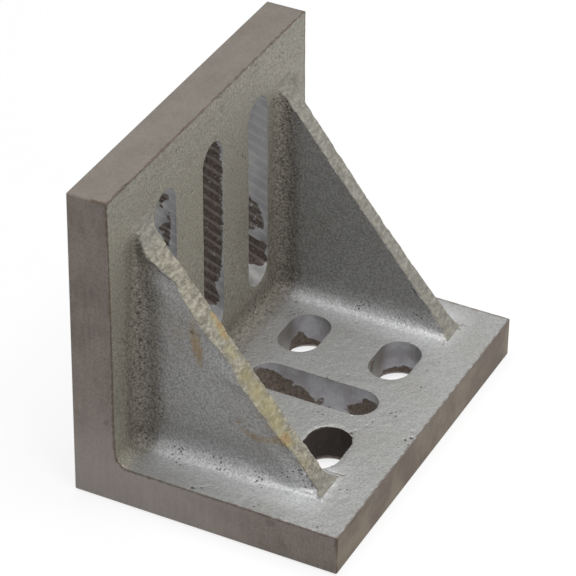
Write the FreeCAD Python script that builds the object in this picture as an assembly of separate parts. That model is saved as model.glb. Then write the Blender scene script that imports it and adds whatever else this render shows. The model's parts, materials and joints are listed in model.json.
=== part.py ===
import FreeCAD, Part
import os

# Slotted angle plate with webbed ends: one iron casting, millimetres.
#
# Frame: +Z up, the base lies on z = 0. X runs along the plate's width and Y
# from the front edge of the base (-Y) to the back face of the upright (+Y).
# The origin is the middle of the footprint.
#
# The back, the underside, both ends, the top edge and the front edge are
# machined. Every face between the two flanges is left as cast.

# --- Outside sizes ---------------------------------------------------------
WIDTH = 89.0
DEPTH = 62.5
HEIGHT = 75.5

# --- Flanges ---------------------------------------------------------------
BASE_THICKNESS = 9.65
UPRIGHT_TOP_THICKNESS = 9.55     # the upright's inner face leans a little, so
UPRIGHT_ROOT_THICKNESS = 10.15   # that the pattern draws out of the sand
CASTING_FILLET = 3.4             # where any two as-cast faces meet in a corner
EDGE_BREAK = 0.3                 # bevel along the machined outer edges

# --- Webs ------------------------------------------------------------------
# The casting's two webs differ a little in thickness and in place.
LEFT_WEB_THICKNESS = 5.9
LEFT_WEB_LEDGE = 10.6            # end of the plate to the web's outer face
RIGHT_WEB_THICKNESS = 4.7
RIGHT_WEB_LEDGE = 8.5
WEB_BELOW_TOP = 12.1             # top of the plate to the top of a web
WEB_BEHIND_FRONT = 9.3           # front edge to the foot of a web
WEB_EDGE_ROUND = 0.6             # soft edges of a web's sloping rim

# --- Slots in the upright --------------------------------------------------
UPRIGHT_SLOT_WIDTH = 9.2
UPRIGHT_SLOT_LENGTH = 48.9
UPRIGHT_SLOT_ABOVE_BASE = 6.6    # top of the base to the bottom of a slot
UPRIGHT_SLOT_PITCH = 21.1
UPRIGHT_SLOT_SHIFT = 0.6         # the cored row sits a little to the right

# --- Slots in the base -----------------------------------------------------
SHORT_SLOT_WIDTH = 9.7
SHORT_SLOT_LENGTH = 15.0
SHORT_SLOT_SPACING_X = 35.7
SHORT_SLOT_SPACING_Y = 22.5
LONG_SLOT_WIDTH = 9.5
LONG_SLOT_LENGTH = 30.5
BASE_SLOTS_FROM_FRONT = 27.5     # front edge to the middle of the slot group

SLOT_MOUTH_BEVEL = 1.3           # relief round each slot on the machined face

# --- Places worked out from the sizes --------------------------------------
FRONT_Y = -DEPTH / 2
BACK_Y = DEPTH / 2
LEFT_X = -WIDTH / 2
RIGHT_X = WIDTH / 2
ROOT_Y = BACK_Y - UPRIGHT_ROOT_THICKNESS
TOP_Y = BACK_Y - UPRIGHT_TOP_THICKNESS

# --- Modelling allowances --------------------------------------------------
OVERCUT = 1.0                    # how far a cutter runs past the faces it cuts
TOUCH = 1e-4                     # a point this close to a plane lies on it


def vec(x, y, z):
    return FreeCAD.Vector(x, y, z)


def side_profile(points, x_from, x_to):
    """Prism along X from an outline given as (y, z) points."""
    corners = [vec(x_from, y, z) for y, z in points]
    face = Part.Face(Part.makePolygon(corners + corners[:1]))
    return face.extrude(vec(x_to - x_from, 0, 0))


def upright_inner_y(z):
    """Where the leaning inner face of the upright stands at height z."""
    share = (z - BASE_THICKNESS) / (HEIGHT - BASE_THICKNESS)
    return ROOT_Y + (TOP_Y - ROOT_Y) * share


WEB_TOP_Z = HEIGHT - WEB_BELOW_TOP
WEB_TOP_Y = upright_inner_y(WEB_TOP_Z)
FOOT_Y = FRONT_Y + WEB_BEHIND_FRONT
WEB_SLOPE = (WEB_TOP_Z - BASE_THICKNESS) / (WEB_TOP_Y - FOOT_Y)


def flanges():
    """Base and upright in one L-shaped section."""
    outline = [
        (FRONT_Y, 0),
        (BACK_Y, 0),
        (BACK_Y, HEIGHT),
        (TOP_Y, HEIGHT),
        (ROOT_Y, BASE_THICKNESS),
        (FRONT_Y, BASE_THICKNESS),
    ]
    return side_profile(outline, LEFT_X, RIGHT_X)


def web(outer_x, inner_x):
    """Triangular web, drawn on past its two ends into the flanges."""
    hidden_y = ROOT_Y + UPRIGHT_ROOT_THICKNESS / 2
    hidden_z = BASE_THICKNESS / 2
    outline = [
        (FOOT_Y - (BASE_THICKNESS - hidden_z) / WEB_SLOPE, hidden_z),
        (hidden_y, hidden_z),
        (hidden_y, WEB_TOP_Z + (hidden_y - WEB_TOP_Y) * WEB_SLOPE),
    ]
    return side_profile(outline, outer_x, inner_x)


def is_along_rim(edge):
    """True for the edges that run up the sloping rim of a web."""
    start = edge.Vertexes[0].Point
    end = edge.Vertexes[-1].Point
    along = end - start
    if abs(along.x) > TOUCH or abs(along.y) < TOUCH:
        return False
    return abs(along.z / along.y - WEB_SLOPE) < TOUCH


def edge_points(edge):
    """Both ends of an edge and its middle."""
    first, last = edge.ParameterRange
    return [edge.valueAt(t) for t in (first, (first + last) / 2, last)]


def on_base_top(point):
    return abs(point.z - BASE_THICKNESS) < TOUCH


def on_upright_face(point):
    return abs(point.y - upright_inner_y(point.z)) < TOUCH


def inside_outline(points):
    """True unless every point lies on one outer edge of the plate."""
    at_end = all(abs(abs(p.x) - WIDTH / 2) < TOUCH for p in points)
    at_top = all(abs(p.z - HEIGHT) < TOUCH for p in points)
    at_front = all(abs(p.y - FRONT_Y) < TOUCH for p in points)
    return not (at_end or at_top or at_front)


def as_cast_corners(shape):
    """Edges where the webs and the flanges meet in a corner."""
    found = []
    for edge in shape.Edges:
        points = edge_points(edge)
        on_a_flange = (all(on_base_top(p) for p in points)
                       or all(on_upright_face(p) for p in points))
        if on_a_flange and inside_outline(points):
            found.append(edge)
    return found


def casting():
    """Flanges and webs, with every inside corner filleted."""
    left_outer = LEFT_X + LEFT_WEB_LEDGE
    right_outer = RIGHT_X - RIGHT_WEB_LEDGE
    left_web = web(left_outer, left_outer + LEFT_WEB_THICKNESS)
    right_web = web(right_outer - RIGHT_WEB_THICKNESS, right_outer)
    rough = flanges().fuse([left_web, right_web]).removeSplitter()
    filleted = rough.makeFillet(CASTING_FILLET, as_cast_corners(rough))
    rims = [edge for edge in filleted.Edges if is_along_rim(edge)]
    thinnest = min(LEFT_WEB_THICKNESS, RIGHT_WEB_THICKNESS)
    return filleted.makeFillet(min(WEB_EDGE_ROUND, thinnest / 3), rims)


def obround(length, width):
    """Face of a round-ended slot, lying in XY, long way along X."""
    r = width / 2
    half = length / 2 - r
    lower = Part.LineSegment(vec(-half, -r, 0), vec(half, -r, 0))
    right = Part.Arc(vec(half, -r, 0), vec(half + r, 0, 0), vec(half, r, 0))
    upper = Part.LineSegment(vec(half, r, 0), vec(-half, r, 0))
    left = Part.Arc(vec(-half, r, 0), vec(-half - r, 0, 0), vec(-half, -r, 0))
    edges = [curve.toShape() for curve in (lower, right, upper, left)]
    return Part.Face(Part.Wire(edges))


def slot_cutter(length, width, wall):
    """Slot through a flange, its bevelled mouth at z = 0, long way along X.

    The straight part runs up +Z through the flange and whatever fillet lies
    on it. The mouth widens by the bevel where it leaves the machined face.
    """
    straight = obround(length, width)
    straight = straight.extrude(vec(0, 0, wall + CASTING_FILLET + 2 * OVERCUT))
    straight.translate(vec(0, 0, -OVERCUT))
    # The mouth slopes at 45 degrees, so it is drawn wider by what it is longer.
    widened = 2 * (SLOT_MOUTH_BEVEL + OVERCUT)
    wide = obround(length + widened, width + widened).OuterWire
    wide.translate(vec(0, 0, -OVERCUT))
    narrow = obround(length, width).OuterWire
    narrow.translate(vec(0, 0, SLOT_MOUTH_BEVEL))
    return straight.fuse(Part.makeLoft([wide, narrow], True))


def base_slots():
    """One long slot from front to back, and a short one at each corner."""
    middle_y = FRONT_Y + BASE_SLOTS_FROM_FRONT
    long_slot = slot_cutter(LONG_SLOT_LENGTH, LONG_SLOT_WIDTH, BASE_THICKNESS)
    long_slot.rotate(vec(0, 0, 0), vec(0, 0, 1), 90)
    long_slot.translate(vec(0, middle_y, 0))
    cutters = [long_slot]
    for side in (-1, 1):
        for row in (-1, 1):
            short = slot_cutter(SHORT_SLOT_LENGTH, SHORT_SLOT_WIDTH, BASE_THICKNESS)
            x = side * SHORT_SLOT_SPACING_X / 2
            y = middle_y + row * SHORT_SLOT_SPACING_Y / 2
            short.translate(vec(x, y, 0))
            cutters.append(short)
    return cutters


def upright_slots():
    """Three parallel slots that stand side by side in the upright."""
    middle_z = BASE_THICKNESS + UPRIGHT_SLOT_ABOVE_BASE + UPRIGHT_SLOT_LENGTH / 2
    cutters = []
    for place in (-1, 0, 1):
        slot = slot_cutter(UPRIGHT_SLOT_LENGTH, UPRIGHT_SLOT_WIDTH, UPRIGHT_ROOT_THICKNESS)
        # Stand the slot on end, then turn its mouth to the back face.
        slot.rotate(vec(0, 0, 0), vec(0, 1, 0), -90)
        slot.rotate(vec(0, 0, 0), vec(0, 0, 1), 90)
        x = UPRIGHT_SLOT_SHIFT + place * UPRIGHT_SLOT_PITCH
        slot.translate(vec(x, BACK_Y, middle_z))
        cutters.append(slot)
    return cutters


def is_machined_corner(edge):
    """True for the straight outer edges where two machined faces meet."""
    if edge.Length < 2 * EDGE_BREAK:
        return False
    points = edge_points(edge)
    planes = [
        all(abs(abs(p.x) - WIDTH / 2) < TOUCH for p in points),
        all(abs(abs(p.y) - DEPTH / 2) < TOUCH for p in points),
        all(abs(p.z) < TOUCH or abs(p.z - HEIGHT) < TOUCH for p in points),
    ]
    return sum(planes) == 2


def angle_plate():
    """The finished plate: cast, machined, slotted, edges broken."""
    plate = casting().cut(base_slots() + upright_slots())
    outer = [edge for edge in plate.Edges if is_machined_corner(edge)]
    return plate.makeChamfer(EDGE_BREAK, outer)


def main():
    os.makedirs("parts", exist_ok=True)
    plate = angle_plate()
    plate.exportStep("parts/angle_plate.step")
    box = plate.BoundBox
    print("angle_plate", plate.isValid(), len(plate.Solids), "solid")
    print("size", round(box.XLength, 3), round(box.YLength, 3), round(box.ZLength, 3))
    print("volume cm3", round(plate.Volume / 1000, 2))


main()
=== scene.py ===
# %% [markdown]
# # A cast iron angle plate
#
# An angle plate is an L-shaped block that holds work square on a machine table.
# It starts as one iron casting, poured in sand, and then its outside is ground
# flat. So it has two kinds of surface: a rough grey skin, wherever the sand
# touched the iron, and fine satin faces, wherever a tool passed over it. The
# lesson is how to give one solid both of them.
#
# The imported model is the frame. It says where every face is, so nothing here
# has to be fitted by eye.

# %% Load the frame
import json
import math

import bmesh
import bpy
import numpy as np
from mathutils import Matrix, Vector
from mathutils.geometry import delaunay_2d_cdt


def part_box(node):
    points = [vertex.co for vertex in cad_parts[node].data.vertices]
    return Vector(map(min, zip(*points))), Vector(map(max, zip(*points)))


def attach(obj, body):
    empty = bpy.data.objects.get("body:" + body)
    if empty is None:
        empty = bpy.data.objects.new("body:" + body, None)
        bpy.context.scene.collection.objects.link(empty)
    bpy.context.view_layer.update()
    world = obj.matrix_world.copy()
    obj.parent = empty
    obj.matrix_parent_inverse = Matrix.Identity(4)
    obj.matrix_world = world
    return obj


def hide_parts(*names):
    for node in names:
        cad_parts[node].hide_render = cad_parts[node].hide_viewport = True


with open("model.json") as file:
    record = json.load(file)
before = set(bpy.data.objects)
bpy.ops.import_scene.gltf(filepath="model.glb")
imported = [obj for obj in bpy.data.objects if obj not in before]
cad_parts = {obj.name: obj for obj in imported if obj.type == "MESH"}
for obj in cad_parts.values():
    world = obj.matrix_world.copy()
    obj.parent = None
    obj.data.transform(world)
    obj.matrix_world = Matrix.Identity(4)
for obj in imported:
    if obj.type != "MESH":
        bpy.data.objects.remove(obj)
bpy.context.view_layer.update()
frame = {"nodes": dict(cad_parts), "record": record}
record = frame["record"]
low, high = (np.array(corner) * 1000 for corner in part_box("angle_plate"))
print("plate, mm:", np.round(high - low, 2))

# %% [markdown]
# ## Where things are
#
# The record lists the openings of the plate as boxes. Their middles are the
# middles of the slots, so the slots never have to be typed in again. All
# lengths below are in millimetres, and the last step turns them into metres.

# %% Read the slots from the record
BASE_TOP = 9.65
ABOVE_BASE = 15.5      # from here up there is no base, and no fillet that rises from it
INNER_Y = 21.3         # the upright's inner face, halfway up
UPRIGHT_FROM_Y = 15.0
# Half the width and half the length that the walls of each kind of slot lie within.
UPRIGHT_REACH = (4.75, 24.7)
SHORT_REACH = (4.95, 7.6)
LONG_REACH = (4.85, 15.4)

openings = {o["name"]: np.array(o["box_m"]) * 1000 for o in record["physics"]["openings"]}


def middle(name):
    return openings[name].mean(axis=0)


upright_slots = {side: middle("upright_slot_" + side) for side in ("left", "middle", "right")}
short_slots = {key: middle("short_slot_" + key)
               for key in ("front_left", "front_right", "back_left", "back_right")}
long_slot = middle("long_base_slot")
print("upright slots stand at x =", [round(float(p[0]), 2) for p in upright_slots.values()])

# %% [markdown]
# ## Sorting the faces
#
# The frame's mesh is a bag of loose triangles, long thin ones on the flat faces
# and small ones round the fillets. A copy of it is welded first. Then the
# triangles that lie in one plane are gathered into patches, by walking from
# each triangle to its neighbours. A patch is one of four kinds, and its kind
# decides both how fine it has to be and which material it gets.

# %% Weld a copy and read its triangles
GROUND, SKIN, SLOT, RIM = 0, 1, 2, 3
KIND_NAMES = ("ground", "skin", "slot", "rim")

welded = bmesh.new()
welded.from_mesh(frame["nodes"]["angle_plate"].data)
bmesh.ops.remove_doubles(welded, verts=welded.verts, dist=1e-6)
bmesh.ops.triangulate(welded, faces=welded.faces)
points = np.array([v.co for v in welded.verts]) * 1000
triangles = np.array([[v.index for v in f.verts] for f in welded.faces])
welded.free()


def normals_and_areas(points, triangles):
    a, b, c = (points[triangles[:, k]] for k in range(3))
    cross = np.cross(b - a, c - a)
    length = np.linalg.norm(cross, axis=1)
    return cross / np.maximum(length, 1e-12)[:, None], length / 2


face_normals, face_areas = normals_and_areas(points, triangles)
print("welded:", len(points), "points,", len(triangles), "triangles")

# %% Walk the triangles into flat patches
FLAT = math.cos(math.radians(0.4))


def edge_table(triangles):
    """Each edge, as a sorted pair of points, with the triangles on it."""
    table = {}
    for index, corners in enumerate(triangles.tolist()):
        for k in range(3):
            pair = (corners[k], corners[(k + 1) % 3])
            table.setdefault((min(pair), max(pair)), []).append(index)
    return table


edges = edge_table(triangles)
neighbours = [[] for _ in triangles]
for pair in edges.values():
    neighbours[pair[0]].append(pair[1])
    neighbours[pair[1]].append(pair[0])

patch_of = np.full(len(triangles), -1)
patches = []
for seed in np.argsort(-face_areas):
    if patch_of[seed] >= 0:
        continue
    patch_of[seed] = len(patches)
    members, queue = [seed], [seed]
    while queue:
        for other in neighbours[queue.pop()]:
            if patch_of[other] < 0 and face_normals[other] @ face_normals[seed] > FLAT:
                patch_of[other] = len(patches)
                members.append(other)
                queue.append(other)
    patches.append(members)
print("patches:", len(patches))

# %% Say what kind each patch is
MACHINED_WITHIN = 1.4  # mm from an outer plane, so that the bevels count as ground
RIM_WITHIN = 0.5       # mm from the plane of the sloping rims

sloping = (face_normals[:, 2] > 0.4) & (face_normals[:, 1] < -0.4)
rim_normal = face_normals[np.argmax(face_areas * sloping)]
rim_height = points[triangles[np.argmax(face_areas * sloping), 0]] @ rim_normal
print("web rims face", np.round(rim_normal, 3))


def inside_slot(point):
    """True inside the outline of a slot, seen along the slot's own axis."""
    def near(place, across, along, reach):
        offset = np.abs(point - place)
        return offset[across] < reach[0] and offset[along] < reach[1]

    if point[2] > ABOVE_BASE:
        return point[1] > UPRIGHT_FROM_Y and any(
            near(place, 0, 2, UPRIGHT_REACH) for place in upright_slots.values())
    return near(long_slot, 0, 1, LONG_REACH) or any(
        near(place, 1, 0, SHORT_REACH) for place in short_slots.values())


def kind_of(members):
    area = face_areas[members]
    centre = np.average(points[triangles[members]].mean(axis=1), axis=0, weights=area)
    normal = face_normals[members[0]]
    from_planes = np.concatenate([centre - low, high - centre])
    outward = np.concatenate([-normal, normal])
    for distance, facing in zip(from_planes, outward):
        if distance < MACHINED_WITHIN and facing > 0.6:
            return GROUND
    from_rim = abs(centre @ rim_normal - rim_height)
    if from_rim < RIM_WITHIN and normal @ rim_normal > 0.5:
        return RIM
    along_axis = abs(normal[1]) if centre[2] > ABOVE_BASE else abs(normal[2])
    if inside_slot(centre) and along_axis < 0.1:
        return SLOT
    return SKIN


patch_kind = np.array([kind_of(members) for members in patches])
for kind, name in enumerate(KIND_NAMES):
    total = sum(face_areas[patches[i]].sum() for i in np.flatnonzero(patch_kind == kind))
    print(f"{name}: {int((patch_kind == kind).sum())} patches, {total:.0f} mm2")

# %% [markdown]
# ## Finer faces where the skin is rough
#
# Rough iron needs many small faces and ground iron needs few. A voxel remesh
# would make them all small and would round every sharp edge. So each patch is
# filled again by itself. Its border is divided evenly, and because two patches
# share the same border points, the new faces meet without a gap. A Delaunay
# triangulation then joins the border to a field of points inside the patch.

# %% Divide the borders
SPACING = 0.5          # mm between points on the rough faces
BAND = 1.3             # mm of fine faces along the edge of a ground face

fine = patch_kind != GROUND
new_points = [tuple(p) for p in points]
divided = {}
for (a, b), pair in edges.items():
    if patch_of[pair[0]] == patch_of[pair[1]]:
        continue
    steps = 1
    if fine[patch_of[pair[0]]] or fine[patch_of[pair[1]]]:
        steps = max(1, round(float(np.linalg.norm(points[b] - points[a])) / SPACING))
    chain = [a]
    for k in range(1, steps):
        chain.append(len(new_points))
        new_points.append(tuple(points[a] + (points[b] - points[a]) * k / steps))
    divided[(a, b)] = chain + [b]
print("border points:", len(new_points))

# %% Fill a patch
def plane_axes(normal):
    """Two directions in a plane, so that seen from outside x turns to y."""
    helper = np.eye(3)[np.argmin(np.abs(normal))]
    across = np.cross(helper, normal)
    across /= np.linalg.norm(across)
    return across, np.cross(normal, across)


def is_inside(spots, starts, ends):
    """For each spot, whether the outline goes round it. Holes count as outside."""
    inside = np.zeros(len(spots), bool)
    for (ax, ay), (bx, by) in zip(starts, ends):
        if ay == by:
            continue
        spans = (spots[:, 1] > min(ay, by)) & (spots[:, 1] <= max(ay, by))
        crossing = ax + (spots[:, 1] - ay) * (bx - ax) / (by - ay)
        inside ^= spans & (spots[:, 0] < crossing)
    return inside


def field_of_points(flat, border):
    """Points on a triangular grid inside a patch, kept off its border."""
    row = SPACING * math.sqrt(3) / 2
    lowest, highest = flat.min(axis=0), flat.max(axis=0)
    grid = []
    for j in range(int((highest[1] - lowest[1]) / row) + 2):
        shift = SPACING / 2 * (j % 2)
        for i in range(int((highest[0] - lowest[0]) / SPACING) + 2):
            grid.append((lowest[0] + i * SPACING + shift, lowest[1] + j * row))
    spots = np.array(grid)
    starts = flat[[a for a, b in border]]
    ends = flat[[b for a, b in border]]
    spots = spots[is_inside(spots, starts, ends)]
    keep = np.ones(len(spots), bool)
    for x, y in flat:
        near = (np.abs(spots[:, 0] - x) < SPACING) & (np.abs(spots[:, 1] - y) < SPACING)
        index = np.flatnonzero(near)
        offset = spots[index] - (x, y)
        keep[index[(offset ** 2).sum(axis=1) < (0.62 * SPACING) ** 2]] = False
    for start, end in zip(starts, ends):
        along = end - start
        length = float(np.hypot(*along))
        if length < 1.5 * SPACING:
            continue
        offset = spots - start
        share = np.clip(offset @ along / length ** 2, 0, 1)
        gap = np.hypot(*(offset - share[:, None] * along).T)
        keep &= gap > 0.4 * SPACING
    return spots[keep]


def within(faces, border):
    """The faces that the border goes round, found by walking in from it."""
    owner = {}
    for index, face in enumerate(faces):
        for k in range(3):
            owner[(face[k], face[(k + 1) % 3])] = index
    walls = set(border)
    queue = [owner[edge] for edge in border if edge in owner]
    found = set(queue)
    while queue:
        face = faces[queue.pop()]
        for k in range(3):
            a, b = face[k], face[(k + 1) % 3]
            if (a, b) in walls or (b, a) not in owner:
                continue
            other = owner[(b, a)]
            if other not in found:
                found.add(other)
                queue.append(other)
    return [faces[index] for index in sorted(found)]


def beside(spots, places):
    """The spots that lie in a narrow band along some places."""
    keep = np.zeros(len(spots), bool)
    for place in places:
        keep |= ((spots - place) ** 2).sum(axis=1) < BAND ** 2
    return spots[keep]


def fill(patch, members):
    """New triangles for one patch. Points that it needs are added."""
    border, used, rough_side = [], {}, set()
    for index in members:
        corners = triangles[index].tolist()
        for k in range(3):
            a, b = corners[k], corners[(k + 1) % 3]
            pair = edges[(min(a, b), max(a, b))]
            if patch_of[pair[0]] != patch_of[pair[1]]:
                chain = divided[(min(a, b), max(a, b))]
                chain = chain if a < b else chain[::-1]
                border += list(zip(chain, chain[1:]))
                if SKIN in (patch_kind[patch_of[pair[0]]], patch_kind[patch_of[pair[1]]]):
                    rough_side.update(chain)
    for a, b in border:
        used.setdefault(a, len(used))
    across, up = plane_axes(face_normals[members[0]])
    ids = list(used)
    spots = np.array([new_points[k] for k in ids])
    flat = np.stack([spots @ across, spots @ up], axis=1)
    local = [(used[a], used[b]) for a, b in border]
    extra = np.zeros((0, 2))
    if face_areas[members].sum() > 4 * SPACING ** 2:
        if fine[patch]:
            extra = field_of_points(flat, local)
        elif rough_side:
            extra = beside(field_of_points(flat, local),
                           [flat[used[k]] for k in sorted(rough_side)])
    result = delaunay_2d_cdt([Vector(p) for p in np.concatenate([flat, extra])],
                             local, [], 0, 1e-7, True)
    plane = spots.mean(axis=0) @ face_normals[members[0]]
    sources = []
    for place, origins in zip(result[0], result[3]):
        origin = origins[0]
        if origin < len(ids):
            sources.append(ids[origin])
            continue
        sources.append(len(new_points))
        new_points.append(tuple(across * place[0] + up * place[1]
                                + face_normals[members[0]] * plane))
    faces = [[sources[k] for k in face] for face in result[2]]
    return within(faces, border)


new_triangles, triangle_kind = [], []
for patch, members in enumerate(patches):
    faces = fill(patch, members)
    new_triangles += faces
    triangle_kind += [int(patch_kind[patch])] * len(faces)
points = np.array(new_points)
triangles = np.array(new_triangles)
triangle_kind = np.array(triangle_kind)
face_normals, face_areas = normals_and_areas(points, triangles)
print("refined:", len(points), "points,", len(triangles), "triangles")
print("smallest triangle, mm2:", face_areas.min())

# %% [markdown]
# ## Notes for every point
#
# The skin will be roughened by one rule, and the rule has to know where it is.
# So each point carries a few numbers. `outward` is the way the rough faces look
# there, and `free` says along which axes the point may move: a point on a ground
# plane has to stay in that plane. `slot` and `rim` run from 0 to 1. The rim's
# share is spread a little over the mesh, because a real casting changes
# gradually from its ragged edge to its flat sides.

# %% Measure the notes
count = len(points)
corner_ids = triangles.ravel()
kind_per_corner = np.repeat(triangle_kind, 3)
weight = np.repeat(face_areas, 3)
normal_per_corner = np.repeat(face_normals, 3, axis=0)


def share_of(mask):
    """For each point, how much of the rough area round it has this mark."""
    rough = weight * (kind_per_corner != GROUND)
    marked = np.bincount(corner_ids, weights=rough * np.repeat(mask, 3), minlength=count)
    total = np.bincount(corner_ids, weights=rough, minlength=count)
    return marked / np.maximum(total, 1e-9)


links = np.unique(np.sort(np.concatenate([triangles[:, [0, 1]], triangles[:, [1, 2]],
                                          triangles[:, [2, 0]]]), axis=1), axis=0)
degree = np.bincount(links.ravel(), minlength=count)


def spread(values, rounds):
    """Each round mixes a point's number with those of its neighbours."""
    for _ in range(rounds):
        around = (np.bincount(links[:, 0], weights=values[links[:, 1]], minlength=count)
                  + np.bincount(links[:, 1], weights=values[links[:, 0]], minlength=count))
        values = 0.4 * values + 0.6 * around / degree
    return values


outward = np.stack([np.bincount(corner_ids, minlength=count,
                                weights=weight * (kind_per_corner != GROUND)
                                * normal_per_corner[:, axis]) for axis in range(3)], axis=1)
outward /= np.maximum(np.linalg.norm(outward, axis=1), 1e-9)[:, None]

free = np.ones((count, 3))
for axis in range(3):
    held = (kind_per_corner == GROUND) & (np.abs(normal_per_corner[:, axis]) > 0.5)
    free[corner_ids[held], axis] = 0

slot = share_of(triangle_kind == SLOT)
rim = spread(share_of(triangle_kind == RIM), 4)
rough = (share_of(triangle_kind != GROUND) > 0).astype(float)
lip = ((slot > 0.05) & (slot < 0.95) & (rough > 0)).astype(float)
print("points on the rough skin:", int(rough.sum()), "of", count)

# %% [markdown]
# ## Webs as they left the sand
#
# The frame's webs have straight sides and full round fillets. On the casting the
# fillets run out towards the sloping rim, and the rim itself bulges here and
# there where the mould parted. Both are changes of place along X only, so they
# are made by moving the points before any roughness is added.

# %% Find the webs
flat_rim = points[triangles[triangle_kind == RIM].ravel()]
middle_part = (flat_rim[:, 2] > 25) & (flat_rim[:, 2] < 50)
webs = []
for side in (-1, 1):
    xs = flat_rim[middle_part & (np.sign(flat_rim[:, 0]) == side)][:, 0]
    webs.append((float(xs.min()), float(xs.max())))
print("webs span, mm:", webs)
depth_in_web = rim_height - points @ rim_normal      # how far below the rim plane


def smooth_step(values, start, end):
    share = np.clip((values - start) / (end - start), 0, 1)
    return share * share * (3 - 2 * share)


FLARE_DEPTH = 12.0     # mm below the rim to where the fillet is round again


def draw_in_fillet(face_x, way, reach, power):
    """Pull the fillet beside one web face towards it, close to the rim only."""
    distance = (points[:, 0] - face_x) * way
    near_rim = 1 - smooth_step(depth_in_web, 1.0, FLARE_DEPTH)
    inside = (distance > 0) & (distance < reach) & (rough > 0)
    share = np.clip(distance / reach, 0, 1)
    pulled = reach * share ** (1 + (power - 1) * near_rim)
    points[inside, 0] += (way * (pulled - distance))[inside]


draw_in_fillet(webs[0][0], -1, 8.0, 2.2)
draw_in_fillet(webs[1][0], -1, 4.5, 1.5)
draw_in_fillet(webs[1][1], 1, 6.5, 2.0)

# %% Let the rims wander
# Height on the web, and how far its outer edge lies outside the straight line.
LEFT_WANDER = ((9, -1.3), (13, -0.9), (17.5, -1.1), (22, -0.3), (29.5, 0), (32.5, 0.6),
               (35.5, -0.9), (39.5, -0.5), (42.5, 0.2), (48.5, -0.4), (52.4, -1.1),
               (55.9, 0.2), (58.4, 1.4), (60, 0.7), (63, -0.7))
RIGHT_WANDER = ((9, 0.4), (16, 0.1), (25, -0.5), (38, -0.6), (50, -0.2), (60, 0.3), (66, 0.4))
WANDER_DEPTH = 4.5     # mm below the rim to where the web is straight again
WANDER_BEYOND = 1.5    # mm over which the move dies away outside the web
KEEP_OFF_Y, KEEP_OFF_Z = 20.5, 10.2    # the faces of the flanges stay where they are


def wander(web, way, offsets):
    """Move the outer edge of a rim along X. The inner edge stays."""
    outer, inner = (web[0], web[1]) if way < 0 else (web[1], web[0])
    across = np.clip(1 - (outer - points[:, 0]) * way / abs(outer - inner), 0, 1)
    beyond = np.clip((points[:, 0] - outer) * way, 0, None)
    across = across * np.exp(-beyond / WANDER_BEYOND) * (np.abs(points[:, 0] - outer) < 9)
    deep = 1 - smooth_step(depth_in_web, 0.3, WANDER_DEPTH)
    above = 1 - smooth_step(-depth_in_web, 0.5, 3.0)
    heights, shifts = np.array(offsets).T
    shift = np.interp(points[:, 2], heights, shifts) * across * deep * above
    off_flanges = (points[:, 1] < KEEP_OFF_Y) & (points[:, 2] > KEEP_OFF_Z)
    points[:, 0] += way * shift * (rough > 0) * off_flanges


wander(webs[0], -1, LEFT_WANDER)
wander(webs[1], 1, RIGHT_WANDER)

# %% [markdown]
# ## Where the cutter missed
#
# The slots were cast a little undersize and opened out with a cutter. Where the
# sand core had shifted, the cutter missed the wall and left a patch of the dark
# scale that forms on hot iron. Each patch is an outline on a slot's wall. The
# points inside it get a 1 in `scale`, and the finish makes the border ragged.

# %% Outline the patches of scale
WALL_SLACK = 0.4       # mm

scale = np.zeros(count)
x, y, z = points.T
in_slot = slot > 0.3


def mark_scale(where, axes, outline, amount=1.0):
    """Put scale on the points of one wall that lie inside an outline."""
    index = np.flatnonzero(where & in_slot)
    corners = np.array(outline, float)
    inside = is_inside(points[index][:, axes], corners, np.roll(corners, -1, axis=0))
    scale[index[inside]] = amount


def upright_wall(side):
    """The right wall of one slot in the upright."""
    off = x - upright_slots[side][0]
    near = (off > 0) & (off < UPRIGHT_REACH[0] + WALL_SLACK)
    return near & (z > ABOVE_BASE) & (y > UPRIGHT_FROM_Y)


def short_wall(key, way):
    """The front (-1) or back (+1) wall of one short slot."""
    place = short_slots[key]
    near = ((np.abs(x - place[0]) < SHORT_REACH[1] + WALL_SLACK)
            & (np.abs(y - place[1]) < SHORT_REACH[0] + WALL_SLACK) & (z < ABOVE_BASE))
    return near & ((y - place[1]) * way > -2)


long_wall = (x > 0) & (x < LONG_REACH[0] + WALL_SLACK) & (z < ABOVE_BASE)
YZ, XZ = [1, 2], [0, 2]
mark_scale(upright_wall("middle"), YZ,
           ((32, 20.5), (24, 19.5), (23.3, 20.2), (22.3, 20.8), (22.1, 22.0), (23.0, 23.5),
            (23.6, 26.0), (22.4, 27.5), (22.0, 30), (21.8, 46), (22.0, 57), (22.3, 61),
            (22.9, 63.4), (24, 64), (32, 64.5)))
mark_scale(upright_wall("right"), YZ,
           ((32, 37), (25.7, 36.2), (24.4, 34.8), (23.1, 32.9), (22.4, 30.7), (22.3, 27.7),
            (23.5, 27.2), (25.2, 26.6), (32, 26.6)), 0.72)
mark_scale(upright_wall("right"), YZ,
           ((32, 25.4), (25.2, 25.6), (23.6, 24.4), (21.7, 25.0), (21.6, 19.6), (22.4, 18.3),
            (25, 18.2), (32, 18.2)))
mark_scale(upright_wall("left"), YZ,
           ((25.8, 57), (26.2, 60), (23.6, 61.6), (23.1, 60.2), (24.6, 59.3), (24.8, 57)), 0.9)
mark_scale(upright_wall("left"), YZ,
           ((23.4, 56.8), (24.0, 56.2), (24.3, 53), (25.7, 52.5), (25.2, 50), (24.0, 47.6),
            (22.9, 48.4), (23.1, 51), (22.7, 54.5)), 0.85)
mark_scale(short_wall("front_left", -1) | short_wall("front_left", 1), XZ,
           ((-30, -1), (-30, 11), (-5, 11), (-5, -1)))
mark_scale(short_wall("front_right", 1), XZ,
           ((20.3, -1), (20.9, 2.0), (22.5, 3.1), (24, 2.6), (26, 3.4), (26, -1)), 0.85)
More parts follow.
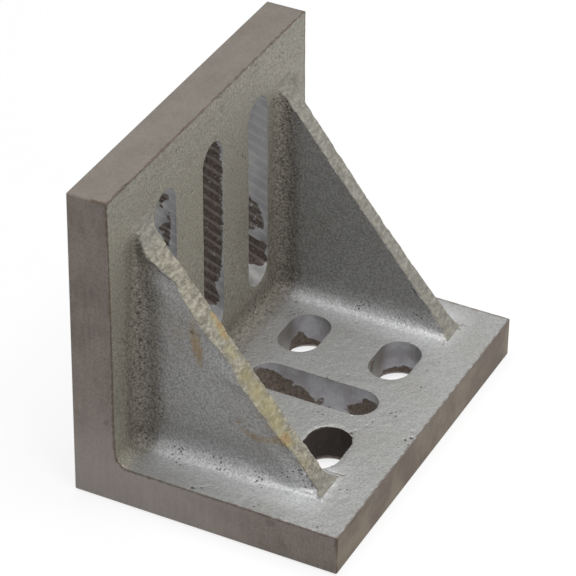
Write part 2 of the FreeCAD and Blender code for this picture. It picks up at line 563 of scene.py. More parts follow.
mark_scale(short_wall("front_right", 1), XZ,
           ((16.0, 6.2), (17.3, 6.2), (17.3, 8.5), (16.0, 8.5)))
mark_scale(short_wall("back_right", 1), XZ,
           ((19.3, -1), (20.1, 2.0), (21.3, 4.1), (24.1, 5.4), (24.7, 3.2), (26, 2.0),
            (26, -1)), 0.85)
mark_scale(short_wall("back_left", 1), XZ,
           ((-24, -1), (-23, 3.5), (-19, 4.2), (-15, 2.0), (-12, 3.0), (-10, -1)), 0.85)
mark_scale(long_wall, YZ,
           ((12, -1), (12, 9.1), (10.8, 8.9), (9.4, 8.2), (6.9, 6.5), (4, 6.0), (0.6, 4.7),
            (-1.9, 2.6), (-3.5, 4.1), (-4.3, 3.6), (-2.5, 0.8), (-1, -1)), 0.85)
mark_scale(long_wall, YZ,
           ((-9.6, -1), (-9.6, 4.2), (-11.5, 4.8), (-12.9, 6.8), (-14.1, 7.2), (-16.3, 7.6),
            (-17.6, 7.7), (-19, 6.8), (-19.5, -1)), 0.85)
mark_scale(long_wall, YZ, ((-4.3, 1.5), (-6.8, 1.5), (-6.8, 2.3), (-4.3, 2.4)), 0.85)
print("points under scale:", int((scale > 0).sum()))

# %% [markdown]
# ## Chips and blow holes
#
# A few marks are large enough to be seen one by one: chips along the sharp
# line at the end of the upright, and single holes in the flat faces. Each one is
# a place and a size. The thousands of small pits are left to Geometry Nodes.

# %% Place the marks
MARKS = (  # x, y, z, radius, all in mm
    (-44.5, 22.4, 75.3, 0.75), (-44.4, 21.8, 74.3, 0.6), (-44.5, 22.3, 73.6, 0.5),
    (-44.5, 21.7, 72.6, 0.4), (-44.4, 21.4, 66.7, 0.35), (-44.4, 21.3, 52.1, 0.35),
    (-44.4, 20.8, 11.2, 0.6), (-44.4, 19.4, 10.4, 0.5), (-44.4, 18.6, 9.8, 0.45),
    (-6.2, -30.2, 9.6, 0.6), (-7.4, -29.3, 9.6, 0.55), (-8.6, -30.6, 9.6, 0.5),
    (-43.2, 3.2, 9.6, 0.6), (-42.4, 1.6, 9.6, 0.45), (-11.9, -18.5, 9.6, 0.55),
    (-10.6, -18.0, 9.6, 0.5), (-9.7, -18.5, 9.6, 0.4), (-4.9, -20.3, 9.6, 0.4),
    (17.1, 21.5, 57.4, 0.45), (14.4, 21.5, 54.3, 0.45), (15.7, 21.5, 53.3, 0.45),
    (10.4, 21.5, 58.8, 0.4), (4.8, 21.7, 75.3, 0.5), (2.0, 21.7, 75.4, 0.4),
    (-12.5, 21.7, 75.4, 0.45), (-30.5, 21.7, 75.3, 0.5), (28.0, 21.7, 75.4, 0.4),
    (-35.6, 21.2, 50.0, 0.5), (-34.4, 20.2, 46.0, 0.6), (-34.9, 20.4, 43.5, 0.65),
    (-34.6, 20.0, 36.7, 0.55), (-37.9, 21.1, 34.5, 0.45), (-34.8, 20.1, 32.2, 0.55),
    (28.9, 20.3, 24.9, 0.6), (29.2, 19.8, 17.5, 0.55), (20.5, 18.9, 10.9, 0.5))


def dabs(places, full, faded):
    """Round dabs, soft from `full` to `faded` times the radius of each."""
    total = np.zeros(count)
    for place_x, place_y, place_z, radius, strength in places:
        distance = np.sqrt((x - place_x) ** 2 + (y - place_y) ** 2 + (z - place_z) ** 2)
        dab = strength * (1 - smooth_step(distance, full * radius, faded * radius))
        total = np.maximum(total, dab)
    return total


mark = dabs([place + (1.0,) for place in MARKS], 0.3, 1.2)
print("points in marks:", int((mark > 0.3).sum()))

# %% Place the ochre stains
STAINS = (  # x, y, z, radius in mm, strength
    (-28.4, 5.7, 43.8, 1.4, 1.0), (-28.8, 4.4, 42.2, 1.5, 1.0), (-29.4, 3.0, 40.4, 1.4, 1.0),
    (-31.0, -3.0, 33.1, 2.4, 0.7), (-31.2, -5.5, 30.0, 2.6, 0.8), (-31.3, -8.0, 26.9, 2.6, 0.8),
    (-31.6, -10.5, 23.8, 2.4, 0.75), (-32.0, -13.0, 20.7, 2.0, 1.0), (-30.6, 0.6, 37.6, 1.8, 0.6),
    (-31.5, -17.0, 15.8, 1.8, 0.5),
    (-33.9, 9.1, 51.5, 1.3, 0.35), (-33.9, 8.9, 49.0, 1.3, 0.4), (-33.9, 8.5, 46.5, 1.4, 0.4),
    (-33.9, 8.2, 44.0, 1.4, 0.5), (-33.9, 7.9, 41.8, 1.3, 0.8), (-33.9, 7.5, 40.0, 1.3, 1.0),
    (-33.9, 7.1, 38.2, 1.3, 1.0), (-33.9, 6.8, 36.4, 1.2, 0.9), (-33.9, 6.5, 34.8, 1.0, 0.7),
    (-33.9, 12.0, 44.0, 2.0, 0.3), (-33.9, 11.5, 40.5, 2.2, 0.35), (-33.9, 11.0, 37.0, 2.0, 0.3),
    (-33.9, -2.8, 22.8, 0.8, 0.6), (-33.9, -3.4, 21.2, 0.8, 0.7), (-33.9, -4.7, 20.5, 0.8, 0.8),
    (-33.9, -6.2, 20.1, 0.9, 0.8), (-33.9, -7.8, 19.9, 0.9, 0.8), (-33.9, -9.4, 20.0, 0.9, 0.8),
    (-33.9, -10.9, 20.5, 1.0, 0.9), (-33.9, -12.4, 21.2, 1.2, 1.0))
stain = dabs(STAINS, 0.4, 1.7)
print("points under stains:", int((stain > 0.3).sum()))

# %% [markdown]
# ## Corners, with painted shade, and the feet of the webs
#
# In the corners the skin gets more pits and turns browner and duller, and its
# colour is also painted darker there, as painted shade for the corners. That
# fades with the distance to the line where two flat faces would meet. Along the
# feet of the webs it is the other way round: the skin is painted brighter, a
# painted highlight for the reflection of the lamp overhead. Where a ground face
# cuts the skin, a thin burr is left, and it is the first thing to rust.

# %% Measure the distance to the corners
def beside_line(first, second, near, far):
    """From 1 close to a line to 0 far from it. Give the two offsets across it."""
    return 1 - smooth_step(np.hypot(first, second), near, far)


# This mask is high near the corners. There the skin gets more pits and turns browner and duller,
# and its colour is painted darker, as painted shade for the corners.
dirt_and_shade = np.zeros(count)
for outer, inner in webs:
    low_share = (1 - 0.4 * smooth_step(z, 35.0, 60.0)) * (1 - smooth_step(z, 60.0, 65.0))
    middle_x = (outer + inner) / 2
    for face_x in (outer, inner):
        own_side = (x - middle_x) * (face_x - middle_x) >= 0
        band = beside_line(x - face_x, y - INNER_Y, 2.0, 9.0) * own_side * low_share
        dirt_and_shade = np.maximum(dirt_and_shade, band)
between = (x > webs[0][1] - 1) & (x < webs[1][0] + 1)
dirt_and_shade = np.maximum(dirt_and_shade, 0.8 * beside_line(y - INNER_Y, z - BASE_TOP, 2.0, 10.0) * between)

# This mask follows the fillets along the feet of the webs. The skin finish paints them brighter
# there, a painted highlight for the reflection of the lamp overhead, and the painted shade of the
# corners is taken off them.
foot = np.zeros(count)
for outer, inner in webs:
    for face_x in (outer, inner):
        foot = np.maximum(foot, beside_line(x - face_x, (z - BASE_TOP) * 1.3, 2.0, 9.5))
foot *= (1 - smooth_step(y, 12.0, 20.0)) * smooth_step(y, -27.0, -17.0)
dirt_and_shade *= 1 - 0.8 * foot
scale = spread(scale, 2)
print("shaded_and_dirty points:", int((dirt_and_shade > 0.5).sum()), "bright points:", int((foot > 0.5).sum()))

# %% Find the burr
BURR_WITHIN = 1.2      # mm from the lines where the ground ends meet the skin

touches_ground = np.bincount(corner_ids, weights=kind_per_corner == GROUND, minlength=count) > 0
burr = (touches_ground & (share_of(triangle_kind == SKIN) > 0)).astype(float)
on_inner_line = np.abs(y - INNER_Y) < BURR_WITHIN
on_inner_line |= (np.abs(z - BASE_TOP) < BURR_WITHIN) & (y < INNER_Y)
burr = np.clip(spread(burr, 1) * 1.7, 0, 1) * on_inner_line
print("burr points:", int((burr > 0.5).sum()))

# %% Make the object
scene = bpy.context.scene


def add_object(name, data):
    made = bpy.data.objects.new(name, data)
    scene.collection.objects.link(made)
    return made


plate_mesh = bpy.data.meshes.new("plate")
plate_mesh.from_pydata((points / 1000).tolist(), [], triangles.tolist())
plate = add_object("plate", plate_mesh)


def note(name, kind, domain, values):
    """Store one value, or one vector, for each point or face of the plate."""
    attribute = plate_mesh.attributes.new(name, kind, domain)
    field = "vector" if kind == "FLOAT_VECTOR" else "value"
    attribute.data.foreach_set(field, np.asarray(values).ravel())


note("outward", "FLOAT_VECTOR", "POINT", outward)
note("free", "FLOAT_VECTOR", "POINT", free)
for name, values in (("rough", rough), ("rim", rim), ("slot", slot),
                     ("lip", lip), ("scale", scale), ("mark", mark), ("dirt_and_shade", dirt_and_shade),
                     ("stain", stain), ("burr", burr), ("foot", foot)):
    note(name, "FLOAT", "POINT", values)
note("kind", "INT", "FACE", triangle_kind)

# %% Keep the lines sharp where a tool cut the skin
sides = edge_table(triangles)
edge_points = np.array([e.vertices[:] for e in plate_mesh.edges])
sharp = []
for a, b in np.sort(edge_points, axis=1).tolist():
    first, second = sides[(a, b)]
    pair = (int(triangle_kind[first]), int(triangle_kind[second]))
    cut_line = pair[0] != pair[1] and (GROUND in pair or SLOT in pair)
    ground_line = pair == (GROUND, GROUND) and face_normals[first] @ face_normals[second] < 0.9
    sharp.append(cut_line or ground_line)
note("sharp_edge", "BOOLEAN", "EDGE", sharp)
print("sharp edges:", sum(sharp))

# %% [markdown]
# ## Sums written as Python
#
# Node trees are easier to read as sums than as boxes and wires. `Value` wraps
# one socket, and adding or multiplying two of them adds the Math node that does
# it. `Tree.node` makes any other node: its settings go in first, because some of
# them change which sockets it has.

# %% A small language for node trees
def find_socket(sockets, key):
    if isinstance(key, int):
        return sockets[key]
    for socket in sockets:
        if socket.identifier == key:
            return socket
    return next(s for s in sockets if s.name == key and s.enabled)


class Value:
    def __init__(self, tree, socket):
        self.tree, self.socket = tree, socket

    def out(self, key):
        """Another output of the node that this value comes from."""
        return Value(self.tree, find_socket(self.socket.node.outputs, key))

    def math(self, operation, *others, **settings):
        settings["operation"] = operation
        return self.tree.node("ShaderNodeMath", settings, dict(enumerate((self,) + others)))

    def __add__(self, other): return self.math("ADD", other)
    def __radd__(self, other): return self.math("ADD", other)
    def __sub__(self, other): return self.math("SUBTRACT", other)
    def __rsub__(self, other): return (self * -1) + other
    def __mul__(self, other): return self.math("MULTIPLY", other)
    def __rmul__(self, other): return self.math("MULTIPLY", other)
    def __truediv__(self, other): return self.math("DIVIDE", other)

    def __rtruediv__(self, other):
        return self.tree.node("ShaderNodeMath", {"operation": "DIVIDE"}, {0: other, 1: self})

    def __gt__(self, other): return self.math("GREATER_THAN", other)

    def clamped(self):
        return self.math("ADD", 0.0, use_clamp=True)

    def max(self, other):
        return self.math("MAXIMUM", other)

    def ramp(self, start, end, low=0.0, high=1.0):
        """From low to high, smoothly, as the value goes from start to end."""
        return self.tree.node("ShaderNodeMapRange", {"interpolation_type": "SMOOTHSTEP"},
                              {"Value": self, "From Min": start, "From Max": end,
                               "To Min": low, "To Max": high})


class Tree:
    def __init__(self, tree):
        self.tree = tree

    def node(self, kind, settings=None, inputs=None, out=0):
        new = self.tree.nodes.new(kind)
        for key, value in (settings or {}).items():
            setattr(new, key, value)
        for key, value in (inputs or {}).items():
            socket = find_socket(new.inputs, key)
            if isinstance(value, Value):
                self.tree.links.new(value.socket, socket)
            else:
                socket.default_value = value
        return Value(self, find_socket(new.outputs, out))

    def send(self, kind, value, to=0):
        """Wire a value to a new output node of the tree."""
        end = self.tree.nodes.new(kind)
        self.tree.links.new(value.socket, find_socket(end.inputs, to))

    def vector(self, operation, *others):
        return self.node("ShaderNodeVectorMath", {"operation": operation},
                         dict(enumerate(others)), out="Vector")

    def scaled(self, vector, factor):
        return self.node("ShaderNodeVectorMath", {"operation": "SCALE"},
                         {0: vector, "Scale": factor}, out="Vector")

    def noise(self, place, size, detail=2.0, roughness=0.5, seed=0.0):
        """Cloudy noise from 0 to 1 whose lumps are about `size` across."""
        moved = self.vector("ADD", place, (seed, seed * 1.7, -seed))
        return self.node("ShaderNodeTexNoise", {}, {"Vector": moved, "Scale": 0.6 / size,
                                                    "Detail": detail, "Roughness": roughness})

    def cells(self, place, size, seed=0.0):
        """Distance to the nearest of many scattered points, in cell widths."""
        moved = self.vector("ADD", place, (seed, -seed, seed * 1.3))
        return self.node("ShaderNodeTexVoronoi", {},
                         {"Vector": moved, "Scale": 1 / size}, out="Distance")

# %% [markdown]
# ## The skin of the casting
#
# Moulding sand leaves low swells, a fine grain, and small pits where a gas
# bubble burst or a grain came loose. The sloping rims of the webs lie on the
# parting of the mould, so they are the most ragged. Sculpting all this would
# take days and would be different every time. Geometry Nodes do it with one
# rule that holds everywhere: move each point along `outward`, by an amount that
# comes from noise, and never out of a ground plane.

# %% Build the skin tree
skin_tree = bpy.data.node_groups.new("Sand cast skin", "GeometryNodeTree")
skin_inputs = {}


def skin_input(name, kind, default=None):
    socket = skin_tree.interface.new_socket(name=name, in_out="INPUT", socket_type=kind)
    if default is not None:
        socket.default_value = default
    skin_inputs[name] = socket.identifier


skin_input("Geometry", "NodeSocketGeometry")
for name, default in (("Swell Height", 0.1), ("Swell Size", 9.0),
                      ("Grain Height", 0.05), ("Grain Size", 1.1),
                      ("Pit Depth", 0.3), ("Pit Radius", 0.55), ("Pits per mm2", 0.012),
                      ("Rim Height", 0.34), ("Rim Size", 2.2), ("Tooth Height", 0.28),
                      ("Lip Wear", 0.03),
                      ("Ridge Height", 0.2), ("Ridge Pitch", 2.7), ("Scale Depth", 0.3),
                      ("Mark Depth", 0.18)):
    skin_input(name, "NodeSocketFloat", default)
skin_input("Seed", "NodeSocketInt", 4)
for name in KIND_NAMES:
    skin_input(name.capitalize() + " Finish", "NodeSocketMaterial")
skin_tree.interface.new_socket(name="Geometry", in_out="OUTPUT", socket_type="NodeSocketGeometry")

t = Tree(skin_tree)
given = t.node("NodeGroupInput")


def named(name, kind="FLOAT"):
    return t.node("GeometryNodeInputNamedAttribute", {"data_type": kind}, {"Name": name},
                  out="Attribute")


place = t.scaled(t.node("GeometryNodeInputPosition"), 1000.0)
seed = given.out("Seed")
shifted = t.vector("ADD", place, t.node("ShaderNodeCombineXYZ", {}, {0: seed, 1: seed * 2}))


def swing(size, detail=2.0):
    """Noise from about -1 to 1, with lumps of the given size."""
    noise = t.node("ShaderNodeTexNoise", {}, {"Vector": shifted, "Scale": 0.6 / size,
                                              "Detail": detail})
    return (noise - 0.5) * 3.0


RIDGE_LEAN = 0.35      # how much the cutter's ridges climb towards the back

# Pits are scattered points. Each point of the skin asks how near the next pit is.
density = named("rough") * (1 - named("slot")) * (0.2 + named("dirt_and_shade") * 4.0)
scattered = t.node("GeometryNodeDistributePointsOnFaces", {"distribute_method": "RANDOM"},
                   {"Mesh": given.out("Geometry"), "Seed": seed,
                    "Density": density * given.out("Pits per mm2") * 1e6})
nearest = t.node("GeometryNodeProximity", {"target_element": "POINTS"},
                 {"Geometry": scattered}, out="Distance") * 1000.0
pit_size = given.out("Pit Radius") * (1 + swing(3.0) * 0.5)
pit = (1 - nearest / pit_size).clamped()

swells = swing(given.out("Swell Size")) * given.out("Swell Height")
grain = swing(given.out("Grain Size"), 1.0) * given.out("Grain Height")
rim_swing = (swing(given.out("Rim Size"), 2.0) * given.out("Rim Height")
             + swing(1.0, 1.0) * given.out("Tooth Height"))
axes = t.node("ShaderNodeSeparateXYZ", {}, {0: place})
rim_swing = rim_swing * named("rim") * axes.out("X").ramp(0.0, 10.0, 1.0, 0.4)
turns = (axes.out("Z") - axes.out("Y") * RIDGE_LEAN) / given.out("Ridge Pitch")
turns = turns + swing(4.0, 1.0) * 0.12
ridge = (turns * (2 * math.pi)).math("SINE") * named("slot") * (axes.out("Z") > ABOVE_BASE)
missed = named("scale") * (0.7 + swing(1.0) * 0.5)

skin_share = named("rough") * (1 - named("slot") * 0.75)
height = ((swells + grain) * skin_share + rim_swing
          - ridge * given.out("Ridge Height") * (0.25 + named("scale")) * 0.5
          - pit * given.out("Pit Depth") - named("mark") * given.out("Mark Depth")
          - named("lip") * given.out("Lip Wear") - missed * given.out("Scale Depth"))
step = t.scaled(t.vector("MULTIPLY", named("outward", "FLOAT_VECTOR"),
                         named("free", "FLOAT_VECTOR")), height / 1000.0)
noted = given.out("Geometry")
for name, value in (("pit", pit), ("ridge", ridge)):
    noted = t.node("GeometryNodeStoreNamedAttribute", {"data_type": "FLOAT", "domain": "POINT"},
                   {"Geometry": noted, "Name": name, "Value": value})
moved = t.node("GeometryNodeSetPosition", {}, {"Geometry": noted, "Offset": step})
smooth = t.node("GeometryNodeSetShadeSmooth", {"domain": "FACE"},
                {"Geometry": moved, "Selection": named("kind", "INT") > 0, "Shade Smooth": True})
finished = t.node("GeometryNodeRealizeInstances", {}, {"Geometry": smooth})
for kind, name in enumerate(KIND_NAMES):
    is_kind = t.node("FunctionNodeCompare", {"data_type": "INT", "operation": "EQUAL"},
                     {"A_INT": named("kind", "INT"), "B_INT": kind})
    finished = t.node("GeometryNodeSetMaterial", {},
                      {"Geometry": finished, "Selection": is_kind,
                       "Material": given.out(name.capitalize() + " Finish")})
t.send("NodeGroupOutput", finished)
print("skin tree:", len(skin_tree.nodes), "nodes")

# %% [markdown]
# ## Finishes
#
# All four finishes read Object coordinates, scaled so that one unit is one
# millimetre. That keeps grain the same size on every face, and no face needs
# to be unwrapped.

# %% Start a finish
def empty_tree(owner):
    """An empty node tree on a material or a world."""
    owner.use_nodes = True
    owner.node_tree.nodes.clear()
    return Tree(owner.node_tree)


def new_finish(name):
    material = bpy.data.materials.new(name)
    tree = empty_tree(material)
    place = tree.scaled(tree.node("ShaderNodeTexCoord", out="Object"), 1000.0)
    return material, tree, place


def attribute(tree, name, out="Fac"):
    return tree.node("ShaderNodeAttribute", {"attribute_name": name}, out=out)


def mix(tree, share, first, second):
    """A colour that goes from first to second as share goes from 0 to 1."""
    return tree.node("ShaderNodeMix", {"data_type": "RGBA"},
                     {"Factor_Float": share, "A_Color": first, "B_Color": second},
                     out="Result_Color")


def coats(tree, base, *layers):
    """Lay thin coats over a base colour. Each is how much of it, then its colour."""
    for share, colour in layers:
        base = mix(tree, share, base, colour)
    return base


def rgb(red, green, blue):
    """A colour as it looks on a screen, 0 to 255, made linear for the shader."""
    def linear(c):
        c /= 255
        return c / 12.92 if c <= 0.04045 else ((c + 0.055) / 1.055) ** 2.4
    return (linear(red), linear(green), linear(blue), 1.0)


def finish_surface(material, tree, colour, roughness, metallic, bump_height, bump_depth):
    """Principled surface with a bump. bump_depth is in millimetres."""
    bump = tree.node("ShaderNodeBump", {}, {"Height": bump_height, "Strength": 1.0,
                                            "Distance": bump_depth / 1000.0})
    shader = tree.node("ShaderNodeBsdfPrincipled", {},
                       {"Base Color": colour, "Roughness": roughness,
                        "Metallic": metallic, "Normal": bump})
    tree.send("ShaderNodeOutputMaterial", shader, "Surface")
    print(material.name, "has", len(material.node_tree.nodes), "nodes")

# %% [markdown]
# ### Skin
#
# Shot-blasted iron is a patchwork of tiny bright and dark facets. Broad, faint
# clouds keep it from looking printed. In the fillets the sand burns on, so the
# skin there is browner and has more dark pits, and it is also painted darker there
# as painted shade. The web faces turned to -X get painted shade, and the fillets
# along the feet of the webs a painted highlight.

# %% Make the skin finish
skin_finish, t, place = new_finish("Cast skin")
dirt_and_shade_share = attribute(t, "dirt_and_shade")
near_foot_highlight = attribute(t, "foot")
holes = attribute(t, "pit").max(attribute(t, "mark"))
axes = t.node("ShaderNodeSeparateXYZ", {}, {0: place})
facing = t.node("ShaderNodeSeparateXYZ", {}, {0: attribute(t, "outward", "Vector")})
facets = t.noise(place, 0.3, detail=1.0)
crumbs = t.noise(place, 0.8, detail=3.0, roughness=0.6, seed=7.0)
clouds = t.noise(place, 9.0, detail=3.0, seed=11.0)
upright = axes.out("Y").ramp(16.0, 21.0)
web_face = facing.out("X").ramp(-0.3, -1.0)
# Painted shade: the web faces turned to -X, the outer face of the left web and the inner face of
# the right web, are painted darker below.
left_web_shade = web_face * axes.out("X").ramp(-20.0, -26.0)
right_web_shade = web_face * axes.out("X").ramp(20.0, 26.0)
# Near the corners the colour goes darker and browner: partly a browner skin, partly painted shade
# for the corners. The crumbs make it patchy.
grime_and_shade = (dirt_and_shade_share * 1.25 + (crumbs - 0.5) * 0.6).ramp(0.15, 1.0)
harsh = (0.35 + upright * 0.3 + web_face * 0.35 + grime_and_shade * 0.2 + near_foot_highlight * 0.05).clamped()
speckle = 0.5 + (facets.ramp(0.3, 0.7) - 0.5) * harsh
pale = mix(t, upright, rgb(166, 166, 165), rgb(170, 166, 152))
deep = mix(t, upright, rgb(118, 118, 117), rgb(120, 116, 104))
base = mix(t, speckle, deep, pale)
base = coats(t, base,
             (clouds.ramp(0.35, 0.7) * 0.2, rgb(130, 127, 118)),
             # painted shade on the web faces turned to -X
             (left_web_shade * 0.35, rgb(104, 103, 103)),
             (right_web_shade * 0.12, rgb(104, 103, 101)),
             # painted highlight along the feet of the webs
             (near_foot_highlight * (0.35 + speckle * 0.35) * 0.6, rgb(210, 211, 214)),
             (upright * axes.out("Z").ramp(35.0, 75.0) * 0.3, rgb(104, 101, 94)))
stain_share = (attribute(t, "stain") + (crumbs - 0.5) * 0.9).ramp(0.1, 1.1)
base = mix(t, stain_share * 0.65, base, rgb(124, 100, 54))
# Painted shade: the corners are mixed towards this dark brown.
grime_and_shade_tone = mix(t, speckle, rgb(66, 61, 53), rgb(106, 100, 90))
base = mix(t, grime_and_shade * 0.7, base, grime_and_shade_tone)
specks = t.cells(place, 0.9, seed=3.0)
spotted = t.noise(place, 3.0, seed=21.0) + dirt_and_shade_share * 0.2 + near_foot_highlight * 0.1
dark = specks.ramp(0.34, 0.18) * spotted.ramp(0.6, 0.7)
base = coats(t, base,
             (dark * 0.7, rgb(56, 51, 45)),
             (holes.ramp(0.25, 0.8) * 0.85, rgb(44, 39, 34)))
edge_rust = (attribute(t, "burr") + (crumbs - 0.5) * 1.4).ramp(0.4, 0.8)
base = mix(t, edge_rust * 0.65, base, rgb(84, 68, 54))
bump = facets * harsh + facets * 0.2 + crumbs * 0.8 - dark * 0.8
roughness = 0.55 + grime_and_shade * 0.2 + near_foot_highlight * 0.12 - speckle * 0.15
finish_surface(skin_finish, t, base, roughness, 0.55 - grime_and_shade * 0.4, bump, 0.13)

# %% [markdown]
# ### Ground faces
#
# A grinding wheel leaves fine parallel lines, so the noise is stretched along
# one axis. The iron has dulled to a warm grey brown.

# %% Make the ground finish
ground_finish, t, place = new_finish("Ground faces")
axes = t.node("ShaderNodeSeparateXYZ", {}, {0: place})
lines = t.noise(t.vector("MULTIPLY", place, (2.0, 2.0, 0.3)), 1.0, detail=3.0)
cross_lines = t.noise(t.vector("MULTIPLY", place, (0.4, 0.4, 3.0)), 1.0, detail=3.0, seed=3.0)
clouds = t.noise(place, 6.0, detail=4.0, roughness=0.65, seed=5.0)
crumbs = t.noise(place, 0.8, detail=3.0, roughness=0.6, seed=7.0)
facets = t.noise(place, 0.35, detail=1.0, seed=13.0)
lower_end_light = axes.out("Z").ramp(30.0, 5.0) * axes.out("Y").ramp(-20.0, 10.0)
front = axes.out("Y").ramp(-31.0, -31.2)
base = mix(t, clouds.ramp(0.3, 0.7), rgb(92, 84, 78), rgb(112, 104, 98))
base = coats(t, base,
             (lines.ramp(0.3, 0.7) * 0.4, rgb(124, 115, 108)),
             (cross_lines.ramp(0.35, 0.75) * 0.3, rgb(122, 114, 108)),
             (facets.ramp(0.35, 0.7) * 0.4, rgb(86, 79, 73)))
DARK_SPOTS = (((-44.5, 23.2, 20.5), 0.9), ((-44.5, -15.7, 8.1), 1.5))   # place, radius
for spot, radius in DARK_SPOTS:
    reach = t.node("ShaderNodeVectorMath", {"operation": "DISTANCE"}, {0: place, 1: spot},
                   out="Value")
    base = mix(t, (reach + (crumbs - 0.5) * 1.5).ramp(radius, 0.3 * radius) * 0.4, base,
               rgb(62, 58, 57))
# Painted light: low down, and towards the back, the ground faces are painted lighter, for the
# light that falls on the lower end faces.
base = mix(t, lower_end_light * 0.35, base, rgb(150, 144, 140))
top = axes.out("Z").ramp(75.2, 75.4)
base = mix(t, top * 0.3, base, rgb(126, 122, 112))
brown = mix(t, clouds.ramp(0.35, 0.7), rgb(78, 61, 41), rgb(112, 98, 78))
base = coats(t, base,
             (front * 0.85, brown),
             (attribute(t, "mark") * 0.5, rgb(66, 60, 58)))
edge_rust = (attribute(t, "burr") + (crumbs - 0.5) * 1.4).ramp(0.4, 0.8)
base = mix(t, edge_rust * 0.7, base, rgb(74, 58, 46))
finish_surface(ground_finish, t, base, 0.45, 0.6, lines + cross_lines + facets, 0.012)

# %% [markdown]
# ### Slot walls
#
# The cutter leaves a smooth pale wall. Scale is nearly black, rough and dull,
# and the cutter's ridges show through it as paler bars. On the bare wall the
# ridges also get a painted highlight and the floors get painted shade, and in
# the base the walls turned to -X are painted lighter than the others, as
# painted light.

# %% Make the slot finish
slot_finish, t, place = new_finish("Slot walls")
scale_share = attribute(t, "scale")
ridge_share = attribute(t, "ridge")
ragged = t.noise(place, 1.1, detail=3.0, roughness=0.7, seed=9.0)
flakes = t.noise(t.vector("MULTIPLY", place, (1.0, 0.8, 1.6)), 0.8, detail=2.0, seed=17.0)
fine_grain = t.noise(place, 0.4, detail=2.0)
soft = t.noise(place, 5.0, detail=2.0, seed=31.0)
axes = t.node("ShaderNodeSeparateXYZ", {}, {0: place})
facing = t.node("ShaderNodeSeparateXYZ", {}, {0: attribute(t, "outward", "Vector")})
in_upright = axes.out("Z") > ABOVE_BASE
# Painted light and shade: in the base, the bare slot walls are painted lighter where they face -X
# and darker where they face other ways.
lit_right_ends = facing.out("X").ramp(0.1, -0.8)
loose = (ragged - 0.5) * 1.0 + (flakes - 0.5) * 1.3 + (fine_grain - 0.5) * 0.5
flaky = (scale_share + loose).ramp(0.38, 0.62)
bare = mix(t, soft.ramp(0.3, 0.7), rgb(176, 176, 175), rgb(152, 152, 155))
low_wall = mix(t, lit_right_ends, rgb(124, 120, 115), rgb(168, 167, 172))
low_wall = mix(t, t.noise(place, 2.5, detail=2.0, seed=71.0).ramp(0.4, 0.65) * 0.4, low_wall,
               rgb(106, 102, 98))
bare = mix(t, in_upright, low_wall, bare)
bare = coats(t, bare,
             # painted shade: the floors of the slots, which face up, are painted darker
             (facing.out("Z").ramp(0.3, 0.9) * 0.5, rgb(96, 94, 90)),
             (fine_grain.ramp(0.3, 0.8) * 0.35, rgb(134, 132, 130)),
             # painted highlight: paler stripes along the cutter's ridges on the bare wall
             (ridge_share.ramp(0.2, 0.9) * 0.2, rgb(205, 205, 205)))
crust = mix(t, fine_grain.ramp(0.3, 0.75), rgb(60, 50, 45), rgb(94, 83, 75))
low_crust = mix(t, fine_grain.ramp(0.3, 0.75), rgb(84, 71, 62), rgb(118, 106, 96))
low_crust = mix(t, scale_share.ramp(0.88, 0.98), low_crust, rgb(50, 42, 37))
crust = mix(t, in_upright, low_crust, crust)
bars = (ridge_share + (ragged - 0.5) * 1.8).ramp(0.1, 0.9) * 0.7
crust = mix(t, bars, crust, rgb(128, 121, 113))
glints = t.noise(place, 0.5, seed=51.0).ramp(0.68, 0.74) * in_upright
crust = mix(t, glints * 0.6, crust, rgb(190, 188, 184))
base = mix(t, flaky, bare, crust)
finish_surface(slot_finish, t, base, 0.5 + flaky * 0.25, 0.4 - flaky * 0.35,
               ragged * flaky + fine_grain * 0.5, 0.12)

# %% [markdown]
# ### Web rims
#
# The rims still carry a crust of fired sand, cream and dull, with ochre stains
# where damp iron has bled through it. It thins out at both ends of each rim.

# %% Make the rim finish
rim_finish, t, place = new_finish("Web rims")
axes = t.node("ShaderNodeSeparateXYZ", {}, {0: place})
crumbs = t.noise(t.vector("MULTIPLY", place, (0.7, 1.0, 1.6)), 0.7, detail=3.0, roughness=0.7)
ragged = t.noise(place, 1.6, detail=3.0, roughness=0.7, seed=41.0)
left = axes.out("X").ramp(-20.0, -26.0)
middle_part = axes.out("Z").ramp(9.0, 16.0) * axes.out("Z").ramp(63.5, 55.0)
sand = mix(t, crumbs.ramp(0.3, 0.75), rgb(98, 94, 82), rgb(156, 152, 138))
plain = mix(t, crumbs.ramp(0.3, 0.75), rgb(104, 102, 94), rgb(140, 137, 128))
bare = mix(t, crumbs.ramp(0.3, 0.75), rgb(104, 102, 94), rgb(138, 135, 125))
base = mix(t, left, plain, sand)
base = mix(t, (middle_part + (ragged - 0.5) * 0.8).ramp(0.2, 0.8), bare, base)
ochre = attribute(t, "stain")
stain_tone = mix(t, ochre.ramp(0.75, 1.0), rgb(132, 124, 84), rgb(134, 106, 62))
stain_tone = mix(t, crumbs.ramp(0.3, 0.75) * 0.4, stain_tone, rgb(160, 148, 116))
stain_share = (ochre + (ragged - 0.5) * 1.1).ramp(0.1, 1.0)
base = coats(t, base,
             (stain_share * 0.75, stain_tone),
             (t.noise(place, 0.9, seed=61.0).ramp(0.62, 0.7) * 0.35, rgb(88, 80, 66)))
finish_surface(rim_finish, t, base, 0.7, 0.1, crumbs, 0.2)

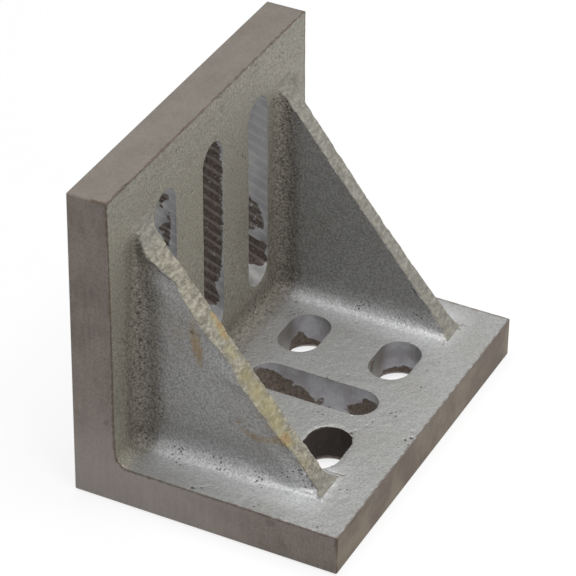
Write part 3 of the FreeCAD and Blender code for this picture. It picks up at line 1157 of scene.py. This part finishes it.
# %% Roughen the plate and bake the result
plate_mesh.materials.append(ground_finish)
modifier = plate.modifiers.new("Skin", "NODES")
modifier.node_group = skin_tree
for name, finish in zip(KIND_NAMES, (ground_finish, skin_finish, slot_finish, rim_finish)):
    modifier[skin_inputs[name.capitalize() + " Finish"]] = finish
depsgraph = bpy.context.evaluated_depsgraph_get()
baked = bpy.data.meshes.new_from_object(plate.evaluated_get(depsgraph),
                                        preserve_all_data_layers=True, depsgraph=depsgraph)
plate.modifiers.clear()
plate.data = baked
print("baked:", len(baked.vertices), "points,", len(baked.polygons), "faces,",
      [m.name for m in baked.materials])

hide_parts("angle_plate")
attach(plate, "root")

# %% [markdown]
# ## Floor, light and camera
#
# Bare iron mirrors whatever hangs over it, so a small part is shown on a white
# sweep under one large soft lamp, with a weaker one in front. Floor and room are
# pure white to the camera, but the light that they throw on the part is weaker,
# so its greys stay true. The floor keeps a little of its own shading, and that
# is where the shadow of the part shows.

# %% Floor
HALF_FLOOR = 6.0       # m
FLOOR_GAP = 0.0002     # m below the underside, so that the two do not flicker


def seen_as_white(tree):
    """1 for what the camera sees, itself or in a reflection or through glass."""
    path = tree.node("ShaderNodeLightPath", out="Is Camera Ray")
    return (path + path.out("Is Glossy Ray") + path.out("Is Transmission Ray")).clamped()


floor_mesh = bpy.data.meshes.new("floor")
corners = [(a * HALF_FLOOR, b * HALF_FLOOR, 0) for a, b in ((-1, -1), (1, -1), (1, 1), (-1, 1))]
floor_mesh.from_pydata(corners, [], [(0, 1, 2, 3)])
floor = add_object("floor", floor_mesh)
floor.location.z = -FLOOR_GAP
floor_paint = bpy.data.materials.new("Pale floor")
t = empty_tree(floor_paint)
pale = t.node("ShaderNodeBsdfDiffuse", {}, {"Color": (0.8, 0.8, 0.8, 1)})
white = t.node("ShaderNodeEmission", {}, {"Color": (1, 1, 1, 1), "Strength": 1.0})
surface = t.node("ShaderNodeMixShader", {}, {0: seen_as_white(t) * 0.8, 1: pale, 2: white})
t.send("ShaderNodeOutputMaterial", surface, "Surface")
floor_mesh.materials.append(floor_paint)

# %% World
world = bpy.data.worlds.new("studio")
scene.world = world
t = empty_tree(world)
room = t.node("ShaderNodeBackground", {}, {"Color": (1, 1, 1, 1), "Strength": 0.35})
backdrop = t.node("ShaderNodeBackground", {}, {"Color": (1, 1, 1, 1), "Strength": 1.0})
surface = t.node("ShaderNodeMixShader", {}, {0: seen_as_white(t), 1: room, 2: backdrop})
t.send("ShaderNodeOutputWorld", surface, "Surface")

# %% Lamps
centre = Vector(((low + high) / 2000).tolist())


def softbox(name, place, width, watts):
    lamp = bpy.data.lights.new(name, "AREA")
    lamp.size = width
    lamp.energy = watts
    holder = add_object(name, lamp)
    holder.location = place
    holder.rotation_euler = (centre - Vector(place)).to_track_quat("-Z", "Y").to_euler()


softbox("top light", (0.0, -0.1, 0.9), 0.7, 9.0)
softbox("front light", (-0.5, -1.0, 0.5), 0.6, 3.0)

# %% Camera
HEADING = 63.687       # degrees from +Y towards +X
DIP = 34.512           # degrees below level
ROLL = -0.872
EYE = (-0.50456, -0.24655, 0.42129)    # m
LENS = 198.03          # mm, on a sensor 36 mm wide

heading, dip, roll = (math.radians(a) for a in (HEADING, DIP, ROLL))
forward = Vector((math.sin(heading) * math.cos(dip), math.cos(heading) * math.cos(dip),
                  -math.sin(dip)))
level = forward.cross(Vector((0, 0, 1))).normalized()
right = Matrix.Rotation(roll, 3, forward) @ level
up = right.cross(forward)
camera_data = bpy.data.cameras.new("camera")
camera_data.lens = LENS
camera_data.sensor_width = 36
camera = add_object("camera", camera_data)
turned = Matrix((right, up, -forward)).transposed().to_4x4()
camera.matrix_world = Matrix.Translation(EYE) @ turned
bpy.context.scene.camera = camera
bpy.context.scene.view_settings.view_transform = "Standard"
print("camera right", [round(c, 5) for c in right], "up", [round(c, 5) for c in up])
